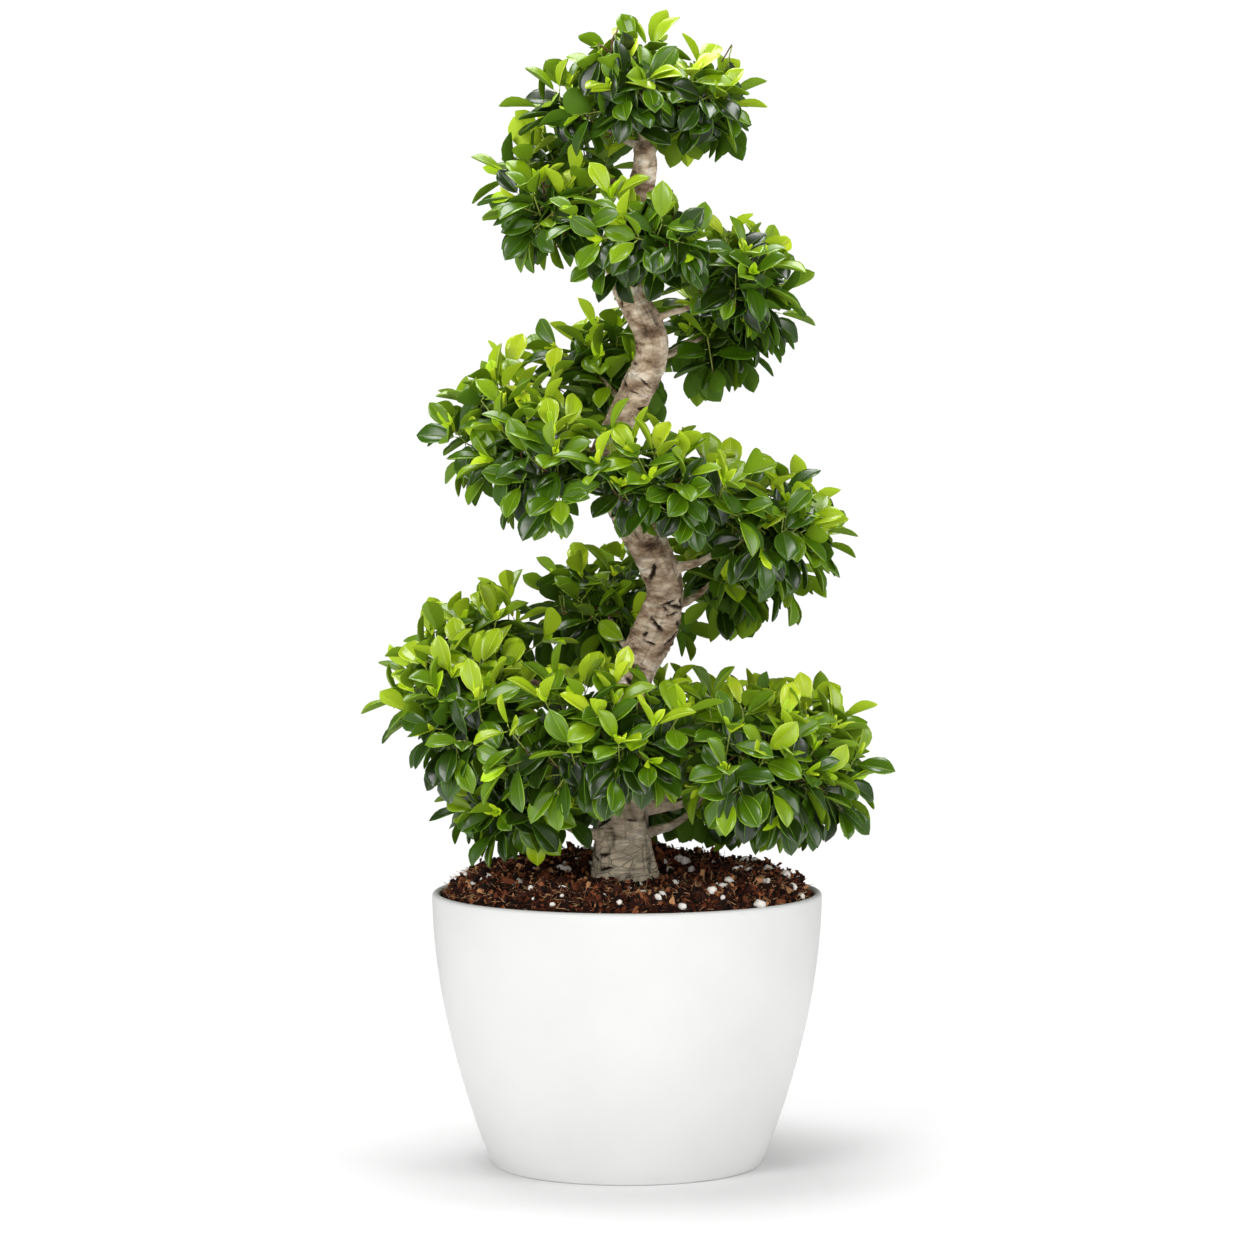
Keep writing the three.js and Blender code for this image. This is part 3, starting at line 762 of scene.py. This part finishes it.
def spread(rng, name, spacing, under_spacing, taken):
    """Places on a mass's outer skin, each farther than a spacing from those already taken, with normals."""
    corners = triangles_of(name)
    cross = np.cross(corners[:, 1] - corners[:, 0], corners[:, 2] - corners[:, 0])
    area = np.linalg.norm(cross, axis=1) / 2
    count = int(area.sum() / spacing**2 * TRIES_PER_PLACE)
    pick = rng.choice(len(area), count, p=area / area.sum())
    u, v = rng.uniform(size=(2, count, 1))
    over = u + v > 1
    u, v = np.where(over, 1 - u, u), np.where(over, 1 - v, v)
    tri = corners[pick]
    spots = tri[:, 0] + u * (tri[:, 1] - tri[:, 0]) + v * (tri[:, 2] - tri[:, 0])
    normals = unit(cross[pick])
    away = unit(spots - mass_centre[name])
    normals = unit(0.5 * normals + 0.5 * away)
    found = []
    for spot, normal in zip(spots, normals):
        gap = under_spacing if normal[2] < -0.25 else spacing
        if taken and np.min(np.linalg.norm(np.array(taken) - spot, axis=1)) < gap:
            continue
        gap = gap_to_others(name, spot + SEAM_LOOK * normal)
        if gap < SEAM_CLEAR:
            continue
        ring = nearest_on_trunk(spot)
        if np.linalg.norm(trunk_path[ring] - spot) < trunk_radius[ring] + TRUNK_CLEAR:
            continue
        taken.append(spot)
        found.append((spot, normal, gap))
    return found


rng = np.random.default_rng(31)
taken = {layer: [] for layer, *_ in LAYERS}
shoots = []
for name in mass_names:
    for layer, spacing, under, inset in LAYERS:
        for spot, normal, gap in spread(rng, name, spacing, under, taken[layer]):
            seam = 1 - smooth_between(gap, 0, SEAM_REACH)
            depth = inset + (SEAM_INSET - inset) * seam * (layer == "outer")
            tip = spot - normal * depth * rng.uniform(0.75, 1.2)
            below = np.clip(-normal[2], 0, 1)
            lift = 0.55 * (1 - below) - 0.15 * below
            heading = unit(normal * 0.8 + UP * lift + rng.normal(size=3) * 0.22)
            shoots.append((name, layer, tip, heading, normal))
shoot_mass, shoot_layer, shoot_tip, shoot_way, shoot_out = (np.array(column) for column in zip(*shoots))
shoot_outer = shoot_layer == "outer"
side_out = shoot_tip - np.stack([trunk_path[nearest_on_trunk(tip)] for tip in shoot_tip])
side_out = unit(side_out * [1, 1, 0])
shoot_long = SHOOT_LENGTH * rng.uniform(0.75, 1.15, len(shoots))
shoot_base = shoot_tip - shoot_way * shoot_long[:, None]

# ---------- The twigs ----------
# Each shoot grows back to the nearest limb that already points its way: first to the bough, then to twigs
# grown before it. A twig is as thick as the number of shoots that hang on it asks.

TWIG_POINTS, TWIG_SIDES = 6, 5
SHOOT_RADIUS, PIPE_POWER, TURN_COST = 0.00085, 0.40, 0.55


def grow_twigs(limb, goals, headings):
    """Joins goals to a limb, nearest first. Each starts at the known point with the shortest way that turns
    least, and follows a cubic curve that leaves along its parent and arrives along its own heading."""
    spots, ways = [limb], [unit(np.gradient(limb, axis=0))]
    owners = [np.full(len(limb), -1)]
    paths, parents = [], []
    t = np.linspace(0, 1, TWIG_POINTS)[:, None]
    order = np.argsort(np.linalg.norm(goals - limb[-1], axis=1))
    for goal in order:
        known, known_way, known_owner = (np.concatenate(parts) for parts in (spots, ways, owners))
        to_goal = goals[goal] - known
        distance = np.linalg.norm(to_goal, axis=1)
        turn = 1 - (unit(to_goal) * known_way).sum(axis=1)
        best = int(np.argmin(distance * (1 + TURN_COST * turn)))
        leave = unit(known_way[best] * 0.6 + unit(to_goal[best]))
        reach = distance[best] / 3
        a, d = known[best], goals[goal]
        b, c = a + leave * reach, d - headings[goal] * reach
        path = (1 - t) ** 3 * a + 3 * (1 - t) ** 2 * t * b + 3 * (1 - t) * t**2 * c + t**3 * d
        spots.append(path[1:])
        ways.append(unit(np.gradient(path, axis=0))[1:])
        owners.append(np.full(len(path) - 1, len(paths)))
        paths.append(path)
        parents.append(known_owner[best])
    load = np.ones(len(paths))
    for i in range(len(paths) - 1, -1, -1):
        if parents[i] >= 0:
            load[parents[i]] += load[i]
    return np.array(paths), load, order


twig_paths, twig_radii = [], []
for name in mass_names:
    mine = np.nonzero(shoot_mass == name)[0]
    path = bough_path[name.rsplit("_", 1)[1]]
    start = len(path) * 2 // 5
    paths, load, order = grow_twigs(path[start:], shoot_base[mine], shoot_way[mine])
    mine = mine[order]
    ends = np.stack([shoot_base[mine] * 0.5 + shoot_tip[mine] * 0.5, shoot_tip[mine]], axis=1)
    thick = SHOOT_RADIUS * load[:, None] ** PIPE_POWER
    taper = np.linspace(1, 0, TWIG_POINTS + 2)[None] ** 0.8
    twig_paths.append(np.concatenate([paths, ends], axis=1))
    twig_radii.append(SHOOT_RADIUS * 0.8 + (thick - SHOOT_RADIUS * 0.8) * taper)
twig_paths, twig_radii = np.concatenate(twig_paths), np.concatenate(twig_radii)
points, quads, triangles = tubes(twig_paths, twig_radii, TWIG_SIDES)

# Year-old ficus wood is brown and a little glossy, and this year's growth is still green.
twig_skins = [new_material("twig_brown_skin", Base_Color=srgb("#6A4A31"), Roughness=0.6),
              new_material("twig_green_skin", Base_Color=srgb("#8A9A3A"), Roughness=0.5)]
segments = TWIG_POINTS + 1
on_segment = np.repeat(np.arange(segments) >= segments - 2, TWIG_SIDES).astype(int)
end_numbers = np.repeat([0, 1], len(twig_paths) * TWIG_SIDES)
twigs = make_piece("twigs", points, [(quads, np.tile(on_segment, len(twig_paths))), (triangles, end_numbers)],
                   twig_skins)
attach(twigs, "root")

# ---------- The leaves ----------
# Laurel-fig leaves: leathery, glossy, broadest just past the middle, with a short point and a pale midrib in
# a shallow fold. They stand round each shoot in a spiral, upright and bright at its tip, dark and hanging
# lower down. Each is a closed thin blade, so it has a dark upper side and a paler matt underside.

LEAF_STATIONS = np.array([0.07, 0.24, 0.45, 0.65, 0.83, 0.94])
LEAF_COLUMNS = np.array([-1, -0.93, -0.50, -0.035, 0.035, 0.50, 0.93, 1])
LEAF_THICK, RIB_DEPTH = 0.0005, 0.0003
LEAF_LENGTH, LEAF_ASPECT, PETIOLE = (0.035, 0.045), (0.58, 0.69), 0.0075
GOLDEN = np.radians(137.5)
OPENING = np.radians([34, 41, 60, 68, 76, 84])
FROM_TIP = np.array([0.0005, 0.0015, 0.0070, 0.0135, 0.0205, 0.0280])
KEPT = np.array([0.96, 0.96, 0.96, 0.92, 0.85, 0.55])
DARKEST_SHADE, SHADE_RANGE, OLDER_DARKER = 0.55, 6.3, 0.12
UPPER_GREENS = ["#1B3001", "#274302", "#365803", "#496D04", "#618506", "#7E9F0C", "#9DBA16", "#BCD224"]
# The underside greens are pale in their own colour and brightened further, a painted light shining through
# the leaf; the rib greens also colour the margin, partly as a painted highlight on the rim.
UNDER_GREENS = ["#4E7210", "#789A16", "#AECC26"]
RIB_GREENS = ["#587F18", "#8CB02A", "#C6DC4A"]
LIMES = ["#B4DA1A", "#CDE62A"]


def blade_shape():
    """The blade as (share along, share across, underside) for each point, and its faces with their kind:
    0 upper side, 1 margin, 2 midrib, 3 underside."""
    rows, columns = len(LEAF_STATIONS), len(LEAF_COLUMNS)
    upper = [(t, v, 0) for t in LEAF_STATIONS for v in LEAF_COLUMNS]
    under = [(t, 0, 1) for t in LEAF_STATIONS]
    places = np.array(upper + under + [(0, 0, 0), (1, 0, 0)], float)
    first_under, base, tip = rows * columns, len(places) - 2, len(places) - 1
    # Each station is a ring: across the upper side, then back by one point below the midrib.
    rings = np.column_stack([np.arange(first_under).reshape(rows, columns), first_under + np.arange(rows)])
    ahead = np.roll(rings, -1, axis=1)
    kinds = np.array([1, 0, 0, 2, 0, 0, 1, 3, 3])
    quads = np.stack([rings[:-1], rings[1:], ahead[1:], ahead[:-1]], axis=-1)
    # The underside is split along its other diagonals.
    quads[:, kinds == 3] = np.roll(quads[:, kinds == 3], 1, axis=-1)
    triangles = np.concatenate([fan_faces(rings[0], base, True), fan_faces(rings[-1], tip, False)])
    return places, quads.reshape(-1, 4), np.tile(kinds, rows - 1), triangles, np.tile(kinds, 2)


def blades(base, way, face, length, width, fold, arch, twist):
    """Points of many blades at once. Half the width follows t^0.74 (1 - t)^0.50, drawn in to a short point;
    the two halves rise from the midrib by the fold, swell a little, and the blade arches down towards its tip
    and twists about its rib."""
    t, v, under = blade_places.T
    outline = t**0.74 * np.maximum(1 - t, 0) ** 0.50 * (1 - 0.16 * smooth_between(t, 0.8, 1.0))
    outline = outline / outline.max()
    half = width[:, None] / 2 * outline
    side = np.abs(v)
    across = half * v * np.cos(fold)[:, None]
    swell = 0.22 * half * 4 * side * (1 - side)
    rib = np.where(side < 0.1, RIB_DEPTH, 0) * (t > 0) * (t < 1)
    up = half * side * np.sin(fold)[:, None] + swell - rib - under * (LEAF_THICK + 0.05 * half)
    up = up - arch[:, None] * length[:, None] * t**2
    angle = twist[:, None] * t
    across, up = across * np.cos(angle) - up * np.sin(angle), across * np.sin(angle) + up * np.cos(angle)
    right = np.cross(way, face)
    along = length[:, None] * (t - 0.04 * side * (t > 0.8))
    return (base[:, None] + way[:, None] * along[..., None] + right[:, None] * across[..., None]
            + face[:, None] * up[..., None])


blade_places, blade_quads, quad_kinds, blade_triangles, triangle_kinds = blade_shape()


def leaf_piece(name, points, numbers, materials, replaced=()):
    """One object of blades. numbers gives each blade's material for its four kinds of face."""
    face_sets = [(repeated(faces, *points.shape[:2]), numbers[:, kinds].ravel())
                 for faces, kinds in ((blade_quads, quad_kinds), (blade_triangles, triangle_kinds))]
    piece = make_piece(name, points.reshape(-1, 3), face_sets, materials, sharp_angle=70)
    if replaced:
        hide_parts(*replaced)
    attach(piece, "root")
    return piece


# A laurel-fig leaf has a waxed upper skin: dark green, sharp highlights. Older leaves, lower on a shoot, are
# darker. Sprays deep in a mass are painted darker as painted shade, and shoots that face up are painted
# lighter than those that face down, as painted light. Its underside has no wax and looks pale and matt, and
# is brightened further as painted light shining through; the midrib is paler still, and the pale margin is
# partly its own colour, partly a painted highlight on the rim.
leaf_skins = (new_materials("waxed_leaf", UPPER_GREENS, Roughness=0.28, Specular_IOR_Level=0.66)
              + new_materials("leaf_underside", UNDER_GREENS, Roughness=0.62, Specular_IOR_Level=0.25)
              + new_materials("leaf_rib", RIB_GREENS, Roughness=0.42)
              + new_materials("new_leaf", LIMES, Roughness=0.38))
FIRST_UNDER = len(UPPER_GREENS)
FIRST_RIB = FIRST_UNDER + len(UNDER_GREENS)
FIRST_LIME = FIRST_RIB + len(RIB_GREENS)

rng = np.random.default_rng(41)
side_a = unit(np.cross(shoot_way, rng.normal(size=shoot_way.shape)))
side_b = np.cross(shoot_way, side_a)
# Painted light: shoots that face up get lighter greens, and those that face down get darker ones.
light_side = np.clip(0.5 + 0.5 * shoot_out[:, 2], 0, 1)
shoot_light_and_tone = np.clip(0.25 + 0.5 * light_side + rng.normal(size=len(shoot_tip)) * 0.16, 0, 1)
# Painted shade: the inner sprays, deep in the masses, get much darker greens.
shoot_light_and_tone = np.where(shoot_outer, shoot_light_and_tone, shoot_light_and_tone * 0.25)
start_turn = rng.uniform(0, 2 * np.pi, len(shoot_tip))


def leaning(index, turn, opening):
    """Ways that lean out of their shoots by an opening, at a turn about the shoot, and the turn's way."""
    radial = side_a[index] * np.cos(turn)[:, None] + side_b[index] * np.sin(turn)[:, None]
    return shoot_way[index] * np.cos(opening)[:, None] + radial * np.sin(opening)[:, None], radial


leaf_sets = []
for order in range(len(OPENING)):
    there = np.ones(len(shoot_tip), bool) if order >= 2 else shoot_outer
    there = there & (rng.uniform(size=len(there)) < KEPT[order])
    index = np.nonzero(there)[0]
    count = len(index)
    turn = start_turn[index] + order * GOLDEN + (np.pi - GOLDEN if order == 1 else 0)
    turn = turn + rng.normal(size=count) * 0.2
    way = leaning(index, turn, OPENING[order] + rng.normal(size=count) * 0.12)[0]
    below = np.clip(-shoot_out[index, 2], 0, 1)
    droop = 0.05 * order + rng.uniform(0, 0.15, count)
    way = unit(way - UP * droop[:, None])
    hanging = smooth_between(below, 0.2, 0.8)[:, None] * (0.45 + 0.2 * (order > 2))
    way = unit(way * (1 - hanging) + (side_out[index] * 0.25 - UP) * hanging)
    facing = (UP * 0.75 * (1 - hanging) + side_out[index] * (0.35 + 0.8 * hanging)
              + np.maximum(shoot_out[index], [-1, -1, 0]) * 0.45 + shoot_way[index] * 0.3
              + rng.normal(size=(count, 3)) * 0.28)
    face = square_to(way, facing)
    stalk = shoot_tip[index] - shoot_way[index] * FROM_TIP[order]
    length = rng.uniform(*LEAF_LENGTH, count) * (0.86 + 0.14 * min(order / 4, 1))
    leaf_sets.append({
        "shoot": index, "order": np.full(count, order), "stalk": stalk, "way": way, "face": face,
        "base": stalk + way * PETIOLE, "length": length, "width": length * rng.uniform(*LEAF_ASPECT, count),
        "fold": np.radians(rng.uniform(14, 24, count) + (8 if order < 2 else 0)),
        "arch": rng.uniform(0.02, 0.16, count), "twist": rng.normal(size=count) * 0.12,
        "bright": shoot_light_and_tone[index] + 0.15 - OLDER_DARKER * order + rng.normal(size=count) * 0.08,
    })
leaves = {key: np.concatenate([part[key] for part in leaf_sets]) for key in leaf_sets[0]}
leaf_points = blades(*(leaves[key] for key in ("base", "way", "face", "length", "width", "fold", "arch",
                                               "twist")))
# Each leaf's green carries that painted light and shade, besides a random tone and the darker older leaves.
shade = np.round(DARKEST_SHADE + SHADE_RANGE * leaves["bright"])
shade = np.clip(shade, 0, len(UPPER_GREENS) - 1).astype(int)
# Midrib, margin and underside follow the upper side's green, so they carry its painted light and shade too.
pale = np.clip(shade // 3, 0, 2)
leaf_numbers = np.stack([shade, FIRST_RIB + pale, FIRST_RIB + pale, FIRST_UNDER + pale], axis=1)
young = leaves["order"] < 2
mass_of_leaf = shoot_mass[leaves["shoot"]]
for i, zone in enumerate(np.array_split(np.array(mass_names), 4)):
    mine = ~young & np.isin(mass_of_leaf, zone)
    leaf_piece(f"leaves_{i + 1}", leaf_points[mine], leaf_numbers[mine], leaf_skins, replaced=zone.tolist())
leaf_piece("tip_leaves", leaf_points[young], leaf_numbers[young], leaf_skins)

# Stalks: a thin green spindle from the shoot to the blade.
stalk_start, stalk_end = leaves["stalk"], leaves["base"] + leaves["way"] * 0.002
stalk_side = np.cross(leaves["way"], leaves["face"])
middle = (stalk_start + stalk_end) / 2
ring = [leaves["face"], stalk_side * 0.87 - leaves["face"] * 0.5, -stalk_side * 0.87 - leaves["face"] * 0.5]
points = np.stack([stalk_start, stalk_end] + [middle + direction * 0.0008 for direction in ring], axis=1)
spindle = np.array([[0, 3, 2], [0, 4, 3], [0, 2, 4], [1, 2, 3], [1, 3, 4], [1, 4, 2]])
triangles = repeated(spindle, *points.shape[:2])
stalk_greens = new_materials("leaf_stalk", ["#7E8F3A", "#A9BE4A"], Roughness=0.5)
# A stalk is paler where its leaf's green is lighter, so it carries that leaf's painted light and shade.
stalks = make_piece("leaf_stalks", points.reshape(-1, 3),
                    [(triangles, np.repeat((shade > 3).astype(int), len(spindle)))], stalk_greens)
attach(stalks, "root")

# New leaves unfold from the bud at the tip of a growing shoot: small, boat-shaped and lime-yellow.
rng = np.random.default_rng(42)
growing = shoot_outer & (rng.uniform(size=len(shoot_tip)) < 0.25 + 0.6 * light_side)
index = np.repeat(np.nonzero(growing)[0], 3)
count = len(index)
order = np.tile(np.arange(3), count // 3)
turn = start_turn[index] + np.pi / 2 + order * 2.3 + rng.normal(size=count) * 0.3
way, radial = leaning(index, turn, np.radians(np.array([12, 24, 34])[order] + rng.normal(size=count) * 6))
way = unit(way)
facing = shoot_way[index] - radial * 0.8
face = square_to(way, facing)
length = np.array([0.013, 0.018, 0.024])[order] * rng.uniform(0.75, 1.25, count)
new_points = blades(shoot_tip[index] - shoot_way[index] * 0.001, way, face, length,
                    length * rng.uniform(0.44, 0.56, count), np.radians(rng.uniform(24, 38, count)),
                    rng.uniform(-0.05, 0.12, count), rng.normal(size=count) * 0.2)
lime = FIRST_LIME + rng.integers(0, 2, count)
new_numbers = np.stack([lime, lime, np.full(count, FIRST_LIME + 1), lime], axis=1)
leaf_piece("new_leaves", new_points, new_numbers, leaf_skins)

# ---------- Floor, light and camera ----------
# The plant stands on a white floor among white walls, with a softbox on either side, one low in front and one
# overhead. A long lens looks slightly down on it.

CAMERA_DISTANCE, CAMERA_HEIGHT, AIM_HEIGHT, CAMERA_LENS = 4.50, 0.80, 0.552, 126.4
FLOOR_RADIUS, FLOOR_AROUND = 1.05, 96
MIRRORED_SHARE = 0.4

# The floor glows a little towards its rim, so that it melts into the walls.
floor_white = new_material("white_floor", Base_Color=srgb("#F7F7F7"), Roughness=0.9,
                           Emission_Color=srgb("#FFFFFF"))
place = add_node(floor_white, "TexCoord", "Object")
from_middle = add_node(floor_white, "VectorMath", "Value", {0: place}, operation="LENGTH")
set_shader(floor_white, Emission_Strength=rescaled(floor_white, from_middle, 0.45, 1.0, 0.0, 0.13))
a = full_turn(FLOOR_AROUND)
points = np.append(np.stack([np.cos(a), np.sin(a), a * 0], axis=1) * FLOOR_RADIUS, [[0, 0, 0]], axis=0)
rim = np.arange(FLOOR_AROUND)
floor = make_piece("floor", points, [(fan_faces(rim, FLOOR_AROUND, True), 0)], [floor_white])

# The ceiling is dark, so that leaves that face up stay deep green, and gloss mirrors the walls only in part.
world = bpy.data.worlds.new("studio")
world.use_nodes = True
height = add_node(world, "SeparateXYZ", "Z", {"Vector": add_node(world, "TexCoord", "Generated")})
walls = rescaled(world, height, 0.16, 0.50, 1.03, 0.12)
is_mirrored = add_node(world, "LightPath", "Is Glossy Ray")
mirrored = rescaled(world, is_mirrored, 0.0, 1.0, 1.0, MIRRORED_SHARE)
feed(world, world.node_tree.nodes["Background"], {"Color": (1.0, 1.0, 1.0, 1.0),
                                                  "Strength": maths(world, "MULTIPLY", walls, mirrored)})
bpy.context.scene.world = world


def softbox(name, place, aim, width, height, power):
    """A rectangular area light at a place, turned to face its aim, with its power in watts."""
    light = bpy.data.lights.new(name, "AREA")
    light.shape = "RECTANGLE"
    light.size, light.size_y, light.energy = width, height, power
    lamp = bpy.data.objects.new(name, light)
    lamp.location = place
    lamp.rotation_euler = (Vector(aim) - Vector(place)).to_track_quat("-Z", "Y").to_euler()
    bpy.context.scene.collection.objects.link(lamp)


softbox("key_left", (-1.9, -2.9, 2.0), (0, 0, 0.6), 1.7, 1.7, 65)
softbox("fill_right", (2.4, -1.6, 1.7), (0, 0, 0.6), 1.4, 1.8, 30)
softbox("front_low", (0.3, -3.4, 0.6), (0, 0, 0.4), 1.6, 0.6, 13)
softbox("top", (-0.1, 0.3, 3.0), (0, 0, 0.5), 1.8, 1.8, 78)

camera = bpy.data.objects.new("camera", bpy.data.cameras.new("camera"))
camera.data.lens = CAMERA_LENS
camera.data.sensor_width = 36.0
camera.location = (0.0, -CAMERA_DISTANCE, CAMERA_HEIGHT)
looking_down = np.arctan2(CAMERA_HEIGHT - AIM_HEIGHT, CAMERA_DISTANCE)
camera.rotation_euler = (np.pi / 2 - looking_down, 0.0, 0.0)
bpy.context.scene.collection.objects.link(camera)
bpy.context.scene.camera = camera
bpy.context.scene.view_settings.view_transform = "Standard"
